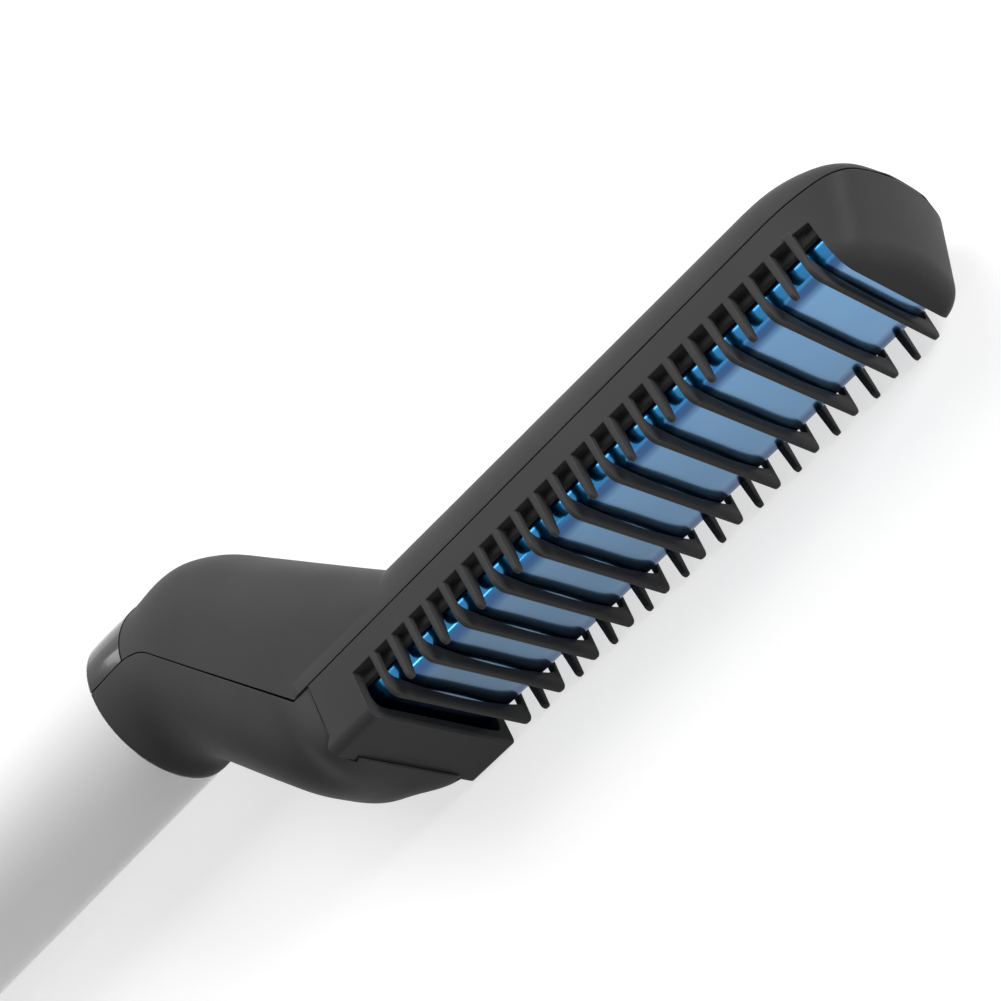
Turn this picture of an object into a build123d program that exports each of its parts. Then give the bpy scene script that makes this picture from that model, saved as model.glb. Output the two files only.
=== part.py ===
from build123d import *
from math import atan, cos, radians, sin, sqrt, tan
import os

# Hot comb: a round handle, a cranked neck and a long head with a heated plate behind a comb of ribs.
# Millimetres. The X axis is the handle's axis and points to the head's tip, and x = 0 is the tail face.
# +Y is the side of the head's smooth back, so the comb's teeth point to -Y.
# +Z is sideways: the comb lies on its flat side, and the part is symmetric about Z = 0.

# ---------------------------------------------------------------- driving dimensions
handle_length = 108.0          # tail face to the rim of the neck
handle_radius = 15.15
handle_wall = 2.0
comb_drop = 36.8               # handle axis down to the upper edge of the comb's side openings
neck_lead = 18.8               # what the neck is longer than the drop of its 45 degree back

rib_count = 12
rib_pitch = 8.0
rib_thickness = 0.8            # at its lower edge
rib_root_thickness = 1.2       # at the rails: ribs and teeth have a moulding draft
rib_depth = 7.6                # below the upper edge of the side openings
rib_leg = 1.3                  # width of a rib's upright at each side
rib_bar = 2.1                  # thickness of a rib's crossbar at mid width
rib_bar_rise = 1.5             # how much the crossbar's upper edge rises to its ends
rib_corner = 2.0
rib_inner_corner = 1.4
tooth_width = 2.8              # at its root
tooth_waist = 2.3              # half way down, on the bowed inner edge
tooth_tip_width = 1.5
tooth_tip_radius = 0.7
tooth_depth = 7.5
root_overlap = 0.5             # how far ribs and teeth run up into the rails

head_half_width = 16.3
head_draft = 0.35              # how much narrower the head is at the ribs' corners
frame_height = 4.3             # parting plane above the side openings
cover_height = 12.4            # dome of the back cover above the parting plane, at the neck
cover_height_tip = 10.7
shell_wall = 2.0
rail_wall = 1.9                # side walls of the comb frame
ledge_bottom = 1.0             # ledge inside the frame that carries the plate's flanges
ledge_thickness = 1.6
lip_depth = 1.7                # wall that hangs from the ledge beside the plate
heel_gap = 13.0                # first rib back to where the frame meets the neck shell
heel_rim_gap = 4.6             # first rib back to the front rim of the hollow heel
heel_depth = 8.1
heel_wall = 2.2
heel_corner = 1.6
tip_wall_gap = 3.3             # last rib to the solid tip
nose_start = 2.0               # last rib back to where the plan outline starts to round
nose_length = 15.1
nose_shoulder = 12.6           # how far the plan's side arcs run before the front arc
nose_side_radius = 30.0
nose_corner_radius = 6.5
nose_lean = 0.41               # how far the tip steps back for each millimetre down
dome_start = 6.0               # last rib back to where the dome starts to fall
dome_power = 2.2               # how late the dome falls
dome_round = 1.35              # how upright it meets the parting plane
nose_depth = 7.7
nose_edge_radius = 4.0
nose_wall = 3.2
rebate_height = 1.1            # tongue of the frame in the cover's rebate
rebate_gap = 0.1

plate_margin = 3.1             # how much narrower than the head the plate is at each side
plate_depth = 3.2              # plate face below the side openings' upper edge
plate_thickness = 1.4
plate_edge_radius = 1.5
plate_gap = 0.15
plate_tail = 8.0               # first rib back to the plate's end, inside the heel
flange_width = 1.0
flange_thickness = 1.2
film_thickness = 0.3
heater_margin = 5.2            # how much narrower than the plate the heater is at each side
heater_height = 3.5
heater_inset = 4.0             # heater's ends from the first and last rib
spring_thickness = 0.4
spring_half_width = 6.0
bracket_rise = 4.8             # bracket's underside above the side openings' upper edge
bracket_thickness = 1.0
bracket_margin = 0.2           # the same for the bracket
bracket_skirt_gap = 0.1
bracket_boss_x = 10.2          # first rib back to the heel bosses
bracket_boss_z = 7.5
nose_boss_x = 6.0              # last rib to the nose bosses
nose_boss_z = 6.0
boss_radius = 2.4
screw_radius = 0.8
screw_head_radius = 1.8
screw_head_height = 1.2
screw_gap = 0.05
screw_length = 6.0

neck_margin = 0.3              # how much narrower than the head the neck stays at each side
neck_power = 3.0               # superellipse power of the neck's sections at the head; 2 at the rim
heel_power = 7.5               # the same for the belly, where it meets the square heel
heel_squaring = 8.0            # length over which the belly turns square
neck_overlap = 7.0             # how far neck and dome run into each other
dome_taper = 1.4               # how much narrower the dome starts, inside the neck
dome_shoulder = 2.5            # heel's rear edge back to where the dome has its full width
back_bend_radius = 33.0
back_corner = 23.3             # rim to the corner of the neck's back line
throat_corner = 6.5            # rim to the concave corner under the neck
throat_radius = 8.0
belly_corner = 23.7            # first rib back to the convex corner under the neck
belly_radius = 16.5
belly_depth = 8.8

seam = 0.25                    # open seam between shells
parting_corner = 12.0          # rim to the corner of the parting line over the throat
parting_radius = 9.0
parting_foot = 3.8             # heel's rear edge back to the foot of the sloping parting line
parting_foot_radius = 0.5
hook_top = 5.3                 # hooked rear edge of the heel, below the side openings
hook_bottom = 6.7
hook_reach = 1.2
panel_corner = 8.8             # rim to the corner of the back cover's edge on the panel
panel_lean = 2.7               # how far that edge runs forward up to the top
panel_edge_radius = 45.0
panel_cut_rise = 1.0           # reach of the panel's side view above the handle
tail_length = 14.0             # shell tails inside the handle tube
tail_wall = 1.6
tail_shoulder = 0.45           # step from a tail's bore down to the neck's bore
slide_gap = 0.1                # radial gap of a tail in its tube

tongue_length = 45.0           # control panel on the handle, from the rim
tongue_half_width = 7.5
panel_gap = 0.15
button_x = 30.0                # from the rim
button_radius = 4.6
button_edge_radius = 0.6
button_proud = 0.7
button_gap = 0.15
button_travel = 0.6
button_flange = 0.7
button_stem_length = 1.7
button_stem_radius = 2.2
led_x = 18.0
led_radius = 1.3

board_start = 21.0             # from the tail face
board_margin = 0.35            # the board's edges to the tube's bore
board_gap = 1.5                # the board's front end to the shells' tails
board_thickness = 1.6
post_shares = (0.13, 0.62)     # the tray's posts along the board
component_share = 0.25         # capacitor and triac along the board
component_gap = 1.0
tray_wall = 1.4
tray_margin = 0.75             # how much longer than the board the tray is at each end
switch_height = 3.5
switch_plunger_radius = 1.7
plunger_rest = 0.4             # what stays of the plunger above its body when it is pressed
light_gap = 0.2                # from the light up to its pipe

cap_length = 7.0
cap_edge_radius = 4.0
cap_wall = 3.0
cap_spigot = 10.0
gland_length = 6.0
gland_radius = 6.8
gland_mouth_radius = 5.4
gland_bore_radius = 3.1
journal_radius = 5.0
journal_gap = 0.06             # running fit of the swivel in the cap
swivel_core_radius = 4.0
swivel_length = 15.0           # inside the cap
ring_radius = 4.8
ring_width = 2.5
lead_radius = 0.7
lead_slot_half_width = 4.8

# ---------------------------------------------------------------- derived places
rim_x = handle_length
first_rib_x = rim_x + neck_lead + comb_drop
last_rib_x = first_rib_x + (rib_count - 1) * rib_pitch
comb_y = -comb_drop
part_y = comb_y + frame_height
ledge_top_y = comb_y + ledge_bottom + ledge_thickness
heel_x = first_rib_x - heel_gap
heel_rim_x = first_rib_x - heel_rim_gap
tip_wall_x = last_rib_x + tip_wall_gap
nose_x = last_rib_x - nose_start
tip_x = nose_x + nose_length
dome_x = last_rib_x - dome_start
plate_half_width = head_half_width - plate_margin
heater_half_width = plate_half_width - heater_margin
bracket_half_width = plate_half_width - bracket_margin
neck_half_width = head_half_width - neck_margin
tube_bore = handle_radius - handle_wall
tail_radius = tube_bore - slide_gap
plate_floor_y = comb_y - plate_depth + plate_thickness
heater_y = plate_floor_y + film_thickness
bracket_y = comb_y + bracket_rise
far = 80.0                     # reach of cutting shapes past the part
edge_pick = 0.1                # how near a level the edges lie that are chosen by it

# the button's flange bears on the tube's bore, and the board hangs below the button's stem
flange_radius = button_radius + button_gap + button_flange
flange_y = sqrt(tube_bore**2 - flange_radius**2) - slide_gap
plunger_top = flange_y - button_flange - button_stem_length
switch_top = plunger_top - button_travel - plunger_rest
board_top = switch_top - switch_height
board_half_width = sqrt(tube_bore**2 - board_top**2) - board_margin

throat = (rim_x + throat_corner, -handle_radius)
belly = (first_rib_x - belly_corner, comb_y - belly_depth)
belly_slope = (belly[1] - throat[1]) / (belly[0] - throat[0])
back_bend = (rim_x + back_corner, handle_radius)
panel_end_x = rim_x + panel_corner + panel_lean

# where the lofts take their sections: shares of the neck's reach and of the nose's length
neck_steps = 18
neck_shares = [i / neck_steps for i in range(neck_steps + 1)]
section_points = 16            # round a neck section
nose_steps = 16
nose_last_shares = [0.97, 0.99]
nose_shares = [i / nose_steps for i in range(nose_steps)] + nose_last_shares

os.makedirs("parts", exist_ok=True)


# ---------------------------------------------------------------- outlines worked out by formula
def bent_line(x, corner, slope_in, slope_out, radius):
    """Height at x of two straight lines through a corner, rounded by an arc."""
    angle_in = atan(slope_in)
    angle_out = atan(slope_out)
    tangent = radius * tan(abs(angle_out - angle_in) / 2)
    start_x = corner[0] - tangent * cos(angle_in)
    end_x = corner[0] + tangent * cos(angle_out)
    if x <= start_x:
        return corner[1] + slope_in * (x - corner[0])
    if x >= end_x:
        return corner[1] + slope_out * (x - corner[0])
    side = 1 if slope_out > slope_in else -1
    start_y = corner[1] - tangent * sin(angle_in)
    centre_x = start_x - side * radius * sin(angle_in)
    centre_y = start_y + side * radius * cos(angle_in)
    return centre_y - side * sqrt(radius**2 - (x - centre_x) ** 2)


def neck_back(x):
    """Height of the neck's back line."""
    return bent_line(x, back_bend, 0, -1, back_bend_radius)


def neck_underside(x):
    """Height of the line under the neck."""
    if x < (throat[0] + belly[0]) / 2:
        return bent_line(x, throat, 0, belly_slope, throat_radius)
    return bent_line(x, belly, belly_slope, 0, belly_radius)


def neck_swell(x):
    """Share of the way from the handle's round section to the neck's full, flat-sided one."""
    return min(1, max(0, (x - panel_end_x) / (back_bend[0] - panel_end_x)))


def belly_power(x):
    """Superellipse power of the sections' lower half: it turns square towards the heel."""
    share = min(1, max(0, (x - heel_x) / heel_squaring + 1))
    power = 2 + (neck_power - 2) * neck_swell(x)
    return power + (heel_power - power) * share


def superellipse(centre, height, half_width, power, lower_power):
    """Points round an upright section: a superellipse of its own power above and below."""
    points = []
    for i in range(section_points):
        angle = radians(360 * i / section_points)
        p = lower_power if cos(angle) < 0 else power
        reach = (abs(cos(angle)) ** p + abs(sin(angle)) ** p) ** (-1 / p)
        points.append((centre + height * reach * cos(angle), half_width * reach * sin(angle)))
    return points


def dome_height(x):
    """Height of the back cover's dome above the parting plane, along the straight head."""
    share = (x - first_rib_x) / (dome_x - first_rib_x)
    return cover_height + (cover_height_tip - cover_height) * share


def nose_dome(u):
    """What is left of the dome's height at the share u of the way from its start to the tip."""
    return (1 - u**dome_power) ** (1 / dome_round)


# the tip in plan: a side arc and the front arc, joined by a smaller corner arc
side_centre_z = head_half_width - nose_side_radius
shoulder_z = side_centre_z + sqrt(nose_side_radius**2 - nose_shoulder**2)
front_depth = nose_length - nose_shoulder
front_radius = (shoulder_z**2 + front_depth**2) / (2 * front_depth)
front_centre_x = tip_x - front_radius
# the corner arc's centre lies where the two other arcs meet, both drawn in by the corner's radius
side_reach = nose_side_radius - nose_corner_radius
front_reach = front_radius - nose_corner_radius
span_x = front_centre_x - nose_x
span = sqrt(span_x**2 + side_centre_z**2)
along = (side_reach**2 - front_reach**2 + span**2) / (2 * span)
across = sqrt(side_reach**2 - along**2)
corner_centre_x = nose_x + (along * span_x - across * side_centre_z) / span
corner_centre_z = side_centre_z - (along * side_centre_z + across * span_x) / span


def corner_ends(inset):
    """Where the tip's corner arc meets the side arc and the front arc, all drawn in by inset."""
    side_share = (nose_side_radius - inset) / side_reach
    front_share = (front_radius - inset) / front_reach
    side_end = (
        nose_x + (corner_centre_x - nose_x) * side_share,
        side_centre_z + (corner_centre_z - side_centre_z) * side_share,
    )
    front_end = (
        front_centre_x + (corner_centre_x - front_centre_x) * front_share,
        corner_centre_z * front_share,
    )
    return side_end, front_end


def nose_half_width(x, inset):
    """Half width of the tip in plan at x, drawn in by inset."""
    side_end, front_end = corner_ends(inset)
    if x < nose_x:
        return head_half_width - inset
    if x < side_end[0]:
        return side_centre_z + sqrt((nose_side_radius - inset) ** 2 - (x - nose_x) ** 2)
    if x < front_end[0]:
        return corner_centre_z + sqrt((nose_corner_radius - inset) ** 2 - (x - corner_centre_x) ** 2)
    return sqrt((front_radius - inset) ** 2 - (x - front_centre_x) ** 2)


# ---------------------------------------------------------------- forms that the shells are cut from
def neck_solid(start_x, end_x, inset_at_rim, inset):
    """Upright sections of the cranked neck, lofted from start_x to end_x and drawn in by inset."""
    with BuildPart() as form:
        for share in neck_shares:
            x = start_x + share * (end_x - start_x)
            tail_share = min(1, max(0, (2 * panel_end_x - rim_x - x) / (panel_end_x - rim_x)))
            wall = inset + (inset_at_rim - inset) * tail_share
            top = neck_back(x) - wall
            bottom = neck_underside(x) + wall
            swell = neck_swell(x)
            half_width = handle_radius + (neck_half_width - handle_radius) * swell - wall
            with BuildSketch(Plane.YZ.offset(x)):
                with BuildLine():
                    Spline(
                        *superellipse(
                            (top + bottom) / 2,
                            (top - bottom) / 2,
                            half_width,
                            2 + (neck_power - 2) * swell,
                            belly_power(x),
                        ),
                        periodic=True,
                    )
                make_face()
        loft()
    return form.part


def half_ellipse(x, half, dome):
    """Section of the head's back at x: a half ellipse that stands on the parting plane."""
    with BuildSketch(Plane.YZ.offset(x)) as section:
        with BuildLine():
            EllipticalCenterArc((part_y, 0), dome, half, start_angle=-90, arc_size=180)
            Line((part_y, half), (part_y, -half))
        make_face()
    return section.sketch


def dome_solid(inset):
    """The head's back: a half-elliptic barrel on the parting plane, closed by a rounded nose."""
    half = head_half_width - inset
    with BuildPart() as form:
        shoulder_x = heel_x - dome_shoulder
        for x, taper in ((heel_x - neck_overlap, dome_taper), (shoulder_x, 0), (dome_x, 0)):
            add(half_ellipse(x, half - taper, dome_height(x) - inset - taper))
        loft(ruled=True)
        for u in nose_shares:
            x = dome_x + u * (tip_x - inset - dome_x)
            nose_height = (cover_height_tip - inset) * nose_dome(u)
            add(half_ellipse(x, nose_half_width(x, inset), nose_height))
        loft()
    return form.part


def plan_outline(inset, start_x):
    """Plan of the head: straight sides closed by the rounded tip, all drawn in by inset."""
    half = head_half_width - inset
    side_end, front_end = corner_ends(inset)
    with BuildSketch() as outline:
        with BuildLine():
            Polyline((start_x, 0), (start_x, half), (nose_x, half))
            RadiusArc((nose_x, half), side_end, nose_side_radius - inset)
            RadiusArc(side_end, front_end, nose_corner_radius - inset)
            RadiusArc(front_end, (tip_x - inset, 0), front_radius - inset)
            mirror(about=Plane.XZ)
        make_face()
    return outline.sketch_local


def leaning_block(inset, start_x, top_y, height):
    """Block of the head's plan below the level top_y: its tip steps back on the way down."""
    with BuildPart() as block:
        with BuildSketch(Plane.XZ.offset(-top_y)):
            with Locations((nose_lean * (top_y - part_y), 0)):
                add(plan_outline(inset, start_x))
        extrude(amount=height * sqrt(1 + nose_lean**2), dir=(-nose_lean, -1, 0))
    return block.part


def above_parting(gap):
    """Side view of all that lies above the parting line, from the tube to past the tip."""
    back_x = rim_x - tail_length - far
    with BuildSketch() as region:
        with BuildLine():
            FilletPolyline(
                (back_x, gap),
                (rim_x + parting_corner, gap),
                (heel_x - parting_foot + gap, part_y + gap),
                (tip_x + far, part_y + gap),
                (tip_x + far, far),
                (back_x, far),
                radius=[0, parting_radius, parting_foot_radius, 0, 0, 0],
                close=True,
            )
        make_face()
    return region.sketch_local


def heel_profile():
    """Side view of the heel, with its hooked rear edge."""
    with BuildSketch() as profile:
        with BuildLine():
            Polyline(
                (heel_x, part_y - seam / 2),
                (heel_x, comb_y - hook_top),
                (heel_x - hook_reach, comb_y - hook_bottom),
                (heel_x - hook_reach, comb_y - heel_depth),
                (heel_rim_x, comb_y - heel_depth),
                (heel_rim_x, part_y - seam / 2),
                close=True,
            )
        make_face()
    return profile.sketch_local


def panel_profile(gap):
    """Side view of the panel's wide end: from the rim to the back cover's curved edge."""
    top_y = handle_radius + panel_cut_rise
    with BuildSketch() as profile:
        with BuildLine():
            Polyline(
                (rim_x + panel_corner + panel_lean - gap, top_y),
                (rim_x, top_y),
                (rim_x, gap / 2),
                (rim_x + panel_corner - gap, gap / 2),
            )
            RadiusArc(
                (rim_x + panel_corner - gap, gap / 2),
                (rim_x + panel_corner + panel_lean - gap, top_y),
                panel_edge_radius,
            )
        make_face()
    return profile.sketch_local


def tongue_plan(gap):
    """Plan of the panel's tongue on the handle, with its rounded end."""
    half = tongue_half_width + gap
    round_x = rim_x - tongue_length + tongue_half_width
    with BuildSketch() as plan:
        with Locations((round_x, 0)):
            Circle(half)
            Rectangle(rim_x - round_x, 2 * half, align=(Align.MIN, Align.CENTER))
    return plan.sketch_local


neck_end_x = first_rib_x + neck_overlap
tail_bore = tail_radius - tail_wall
neck_form = neck_solid(rim_x, neck_end_x, 0, 0)
neck_core = neck_solid(rim_x, neck_end_x, handle_radius - tail_bore + tail_shoulder, shell_wall)
panel_form = neck_solid(rim_x - tongue_length, neck_end_x, 0, 0)
dome_form = dome_solid(0)
dome_core = dome_solid(shell_wall)

# the shells' tails before they are parted: a tube with four bosses for the clamp screws
clamp_x = rim_x - tail_length / 2
clamp_z = handle_radius / 2
with BuildPart() as tail:
    with BuildSketch(Plane.YZ.offset(rim_x - tail_length)):
        Circle(tail_radius)
        Circle(tail_bore, mode=Mode.SUBTRACT)
    extrude(amount=panel_end_x - rim_x + tail_length)
    with BuildSketch(Plane.XZ.offset(-tail_radius)):
        with Locations((clamp_x, clamp_z), (clamp_x, -clamp_z)):
            Circle(boss_radius)
    extrude(amount=2 * tail_radius)
    with BuildSketch(Plane.YZ.offset(rim_x - tail_length)):
        Circle(tail_radius)
    extrude(amount=panel_end_x - rim_x + tail_length, mode=Mode.INTERSECT)


# ---------------------------------------------------------------- back cover: neck and head in one sweep
with BuildPart() as back_cover:
    add(neck_form)
    add(dome_form)
    add(neck_core, mode=Mode.SUBTRACT)
    add(dome_core, mode=Mode.SUBTRACT)
    with BuildSketch(Plane.XY):
        add(panel_profile(0))
    extrude(amount=far, both=True, mode=Mode.SUBTRACT)
    add(tail.part)
    with BuildSketch(Plane.XY):
        add(above_parting(seam / 2))
    extrude(amount=far, both=True, mode=Mode.INTERSECT)
    with BuildSketch(Plane.XZ.offset(-part_y)):
        add(plan_outline(rail_wall / 2, heel_x))
    extrude(amount=-rebate_height, mode=Mode.SUBTRACT)
    with BuildSketch(Plane.XZ):
        with Locations((clamp_x, clamp_z), (clamp_x, -clamp_z)):
            Circle(screw_radius + screw_gap)
    extrude(amount=-screw_length, mode=Mode.SUBTRACT)
back_cover.part.label = "back_cover"
export_step(back_cover.part, "parts/back_cover.step")


# ---------------------------------------------------------------- neck shell: the belly of the neck
with BuildPart() as neck_shell:
    add(neck_form)
    add(neck_core, mode=Mode.SUBTRACT)
    add(tail.part)
    with BuildSketch(Plane.XY):
        add(above_parting(-seam / 2))
    extrude(amount=far, both=True, mode=Mode.SUBTRACT)
    with BuildSketch(Plane.XY):
        add(heel_profile())
        offset(amount=seam, kind=Kind.INTERSECTION)
        with Locations((heel_x - seam, part_y + far)):
            Rectangle(far, 3 * far, align=(Align.MIN, Align.MAX))
    extrude(amount=far, both=True, mode=Mode.SUBTRACT)
    with BuildSketch(Plane.XZ):
        with Locations((clamp_x, clamp_z), (clamp_x, -clamp_z)):
            Circle(screw_radius + 2 * screw_gap)
    extrude(amount=far, mode=Mode.SUBTRACT)
    with BuildSketch(Plane.XZ.offset(screw_length - screw_head_height)):
        with Locations((clamp_x, clamp_z), (clamp_x, -clamp_z)):
            Circle(screw_head_radius + 2 * screw_gap)
    extrude(amount=far, mode=Mode.SUBTRACT)
neck_shell.part.label = "neck_shell"
export_step(neck_shell.part, "parts/neck_shell.step")


# ---------------------------------------------------------------- comb frame: heel, rails, ribs, tip
half_at_corner = head_half_width - head_draft
rib_xs = [first_rib_x + i * rib_pitch for i in range(rib_count)]
tooth_xs = [x + rib_pitch / 2 for x in rib_xs[:-1]]

# opening of a bridging rib: two uprights and a crossbar that thickens towards them
with BuildSketch() as rib_opening:
    leg_z = head_half_width - rib_leg
    bar_y = comb_y - rib_depth + rib_bar
    with BuildLine():
        Polyline(
            (bar_y + rib_bar_rise, -leg_z),
            (comb_y + 2 * root_overlap, -leg_z),
            (comb_y + 2 * root_overlap, leg_z),
            (bar_y + rib_bar_rise, leg_z),
        )
        ThreePointArc((bar_y + rib_bar_rise, leg_z), (bar_y, 0), (bar_y + rib_bar_rise, -leg_z))
    make_face()
    fillet(rib_opening.vertices().sort_by(Axis.X)[:2], rib_inner_corner)

# the moulding draft that ribs and teeth share, in side view
with BuildSketch() as draft_profile:
    with BuildLine():
        Polyline(
            (-rib_root_thickness / 2, comb_y + root_overlap),
            (-rib_root_thickness / 2, comb_y),
            (-rib_thickness / 2, comb_y - rib_depth),
            (rib_thickness / 2, comb_y - rib_depth),
            (rib_root_thickness / 2, comb_y),
            (rib_root_thickness / 2, comb_y + root_overlap),
            close=True,
        )
    make_face()

with BuildPart() as rib:
    with BuildSketch(Plane.YZ.offset(-rib_root_thickness / 2)) as outline:
        with BuildLine():
            Polyline(
                (comb_y + root_overlap, -head_half_width),
                (comb_y, -head_half_width),
                (comb_y - rib_depth, -half_at_corner),
                (comb_y - rib_depth, half_at_corner),
                (comb_y, head_half_width),
                (comb_y + root_overlap, head_half_width),
                close=True,
            )
        make_face()
        fillet(outline.vertices().sort_by(Axis.X)[:2], rib_corner)
        add(rib_opening.sketch_local, mode=Mode.SUBTRACT)
    extrude(amount=rib_root_thickness)
    with BuildSketch(Plane.XY):
        add(draft_profile.sketch_local)
    extrude(amount=far, both=True, mode=Mode.INTERSECT)

# a pair of side teeth, one at each side: leaves with a bowed inner edge and a rounded tip
with BuildPart() as tooth_pair:
    with BuildSketch(Plane.YZ.offset(-rib_root_thickness / 2)) as outline:
        tip_z = half_at_corner
        with BuildLine():
            Polyline(
                (comb_y - tooth_depth, tip_z - tooth_tip_width),
                (comb_y - tooth_depth, tip_z),
                (comb_y, head_half_width),
                (comb_y + root_overlap, head_half_width),
                (comb_y + root_overlap, head_half_width - tooth_width),
                (comb_y, head_half_width - tooth_width),
            )
            ThreePointArc(
                (comb_y, head_half_width - tooth_width),
                (comb_y - tooth_depth / 2, head_half_width - tooth_waist),
                (comb_y - tooth_depth, tip_z - tooth_tip_width),
            )
        make_face()
        fillet(outline.vertices().sort_by(Axis.X)[:2], tooth_tip_radius)
    extrude(amount=rib_root_thickness)
    with BuildSketch(Plane.XY):
        add(draft_profile.sketch_local)
    extrude(amount=far, both=True, mode=Mode.INTERSECT)
    mirror(about=Plane.XY)

heel_bosses = [(first_rib_x - bracket_boss_x, side * bracket_boss_z) for side in (-1, 1)]
nose_bosses = [(last_rib_x + nose_boss_x, side * nose_boss_z) for side in (-1, 1)]
bracket_screw_places = heel_bosses + nose_bosses

# pocket in the tip, below the ledge's level
with BuildPart() as nose_pocket:
    add(leaning_block(nose_wall, nose_x - nose_start, ledge_top_y, nose_depth - nose_wall))
    with BuildSketch(Plane.XZ.offset(-ledge_top_y)):
        with Locations((tip_wall_x + shell_wall, 0)):
            Rectangle(far, far, align=(Align.MIN, Align.CENTER))
    extrude(amount=far, mode=Mode.INTERSECT)

with BuildPart() as comb_frame:
    # rails and nose: the plan outline, rounded round its lower edge
    add(leaning_block(0, heel_rim_x, part_y - seam / 2, frame_height - seam / 2 + nose_depth))
    fillet(
        comb_frame.faces().sort_by(Axis.Y)[0].edges().sort_by(Axis.X)[1:],
        nose_edge_radius,
    )
    # window for the ribs, up to the tip wall and the rails
    with BuildSketch(Plane.XZ.offset(-comb_y)):
        with Locations((tip_wall_x, 0)):
            Rectangle(tip_wall_x, far, align=(Align.MAX, Align.CENTER))
    extrude(amount=far, mode=Mode.SUBTRACT)
    # the hollow heel with its hooked rear edge
    with BuildSketch(Plane.XY.offset(-head_half_width)):
        add(heel_profile())
    extrude(amount=2 * head_half_width)
    fillet(
        comb_frame.edges()
        .filter_by(Axis.X)
        .filter_by_position(
            Axis.Y, comb_y - heel_depth - edge_pick, comb_y - heel_depth + edge_pick
        ),
        heel_corner,
    )
    with BuildSketch(Plane.YZ.offset(heel_x + heel_wall)) as cavity:
        with Locations((comb_y - heel_depth + heel_wall, 0)):
            Rectangle(
                heel_depth - heel_wall + ledge_bottom,
                2 * (head_half_width - rail_wall),
                align=(Align.MIN, Align.CENTER),
            )
        fillet(cavity.vertices().sort_by(Axis.X)[:2], rib_corner)
    extrude(amount=heel_rim_x - heel_x, mode=Mode.SUBTRACT)
    # inside: lips that hang beside the plate, the plate's window and the pocket above the ledge
    with BuildSketch(Plane.XZ.offset(lip_depth - comb_y)):
        with Locations((heel_x + heel_wall, 0)):
            Rectangle(
                tip_wall_x - heel_x - heel_wall,
                2 * (head_half_width - rail_wall),
                align=(Align.MIN, Align.CENTER),
            )
    extrude(amount=-(lip_depth + ledge_bottom))
    with BuildSketch(Plane.XZ.offset(lip_depth - comb_y)):
        with Locations((first_rib_x - plate_tail - plate_gap, 0)):
            Rectangle(
                tip_wall_x - first_rib_x + plate_tail + plate_gap,
                2 * (plate_half_width + plate_gap),
                align=(Align.MIN, Align.CENTER),
            )
    extrude(amount=-(lip_depth + frame_height), mode=Mode.SUBTRACT)
    with BuildSketch(Plane.XZ.offset(-ledge_top_y)):
        add(plan_outline(rail_wall, heel_x + rail_wall))
    extrude(amount=-frame_height, mode=Mode.SUBTRACT)
    add(nose_pocket.part, mode=Mode.SUBTRACT)
    # tongue that fits the cover's rebate
    with BuildSketch(Plane.XZ.offset(-(part_y - seam))):
        add(plan_outline(rail_wall / 2 + rebate_gap, heel_x + rail_wall / 2))
        add(plan_outline(rail_wall, heel_x - far), mode=Mode.SUBTRACT)
    extrude(amount=-(rebate_height + seam - rebate_gap))
    # slot for the leads in the heel's rear wall
    with BuildSketch(Plane.XZ.offset(-ledge_top_y)):
        with Locations((heel_x, 0)):
            Rectangle(rail_wall, 2 * lead_slot_half_width, align=(Align.MIN, Align.CENTER))
    extrude(amount=-frame_height, mode=Mode.SUBTRACT)
    # bosses for the heater bracket's screws
    with BuildSketch(Plane.XZ.offset(-bracket_y)):
        with Locations(*heel_bosses):
            Circle(boss_radius)
    extrude(amount=bracket_y - ledge_top_y + ledge_thickness / 2)
    with BuildSketch(Plane.XZ.offset(-bracket_y)):
        with Locations(*nose_bosses):
            Circle(boss_radius)
    extrude(amount=bracket_y - ledge_top_y + nose_depth - nose_wall + shell_wall / 4)
    with BuildSketch(Plane.XZ.offset(-bracket_y)):
        with Locations(*bracket_screw_places):
            Circle(screw_radius + screw_gap)
    extrude(amount=screw_length, mode=Mode.SUBTRACT)
    # ribs and teeth
    with Locations(*[(x, 0, 0) for x in rib_xs]):
        add(rib.part)
    with Locations(*[(x, 0, 0) for x in tooth_xs]):
        add(tooth_pair.part)
comb_frame.part.label = "comb_frame"
export_step(comb_frame.part, "parts/comb_frame.step")


# ---------------------------------------------------------------- heating plate: a flanged channel
plate_start_x = first_rib_x - plate_tail
plate_length = tip_wall_x - plate_gap - plate_start_x
with BuildPart() as heating_plate:
    with BuildSketch(Plane.YZ.offset(plate_start_x)) as section:
        with Locations((comb_y - plate_depth, 0)):
            Rectangle(
                plate_depth + ledge_bottom + ledge_thickness + flange_thickness,
                2 * plate_half_width,
                align=(Align.MIN, Align.CENTER),
            )
        fillet(section.vertices().sort_by(Axis.X)[:2], plate_edge_radius)
    extrude(amount=plate_length)
    with BuildSketch(Plane.YZ.offset(plate_start_x)):
        with Locations((ledge_top_y, 0)):
            Rectangle(
                flange_thickness,
                2 * (plate_half_width + flange_width),
                align=(Align.MIN, Align.CENTER),
            )
    extrude(amount=last_rib_x - plate_start_x)
    with BuildSketch(Plane.YZ.offset(plate_start_x)):
        with Locations((plate_floor_y, 0)):
            Rectangle(
                far,
                2 * (plate_half_width - plate_thickness),
                align=(Align.MIN, Align.CENTER),
            )
    extrude(amount=plate_length, mode=Mode.SUBTRACT)
heating_plate.part.label = "heating_plate"
export_step(heating_plate.part, "parts/heating_plate.step")


# ---------------------------------------------------------------- heater stack on the plate's floor
heater_start_x = first_rib_x + heater_inset
heater_length = last_rib_x - heater_inset - heater_start_x


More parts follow.
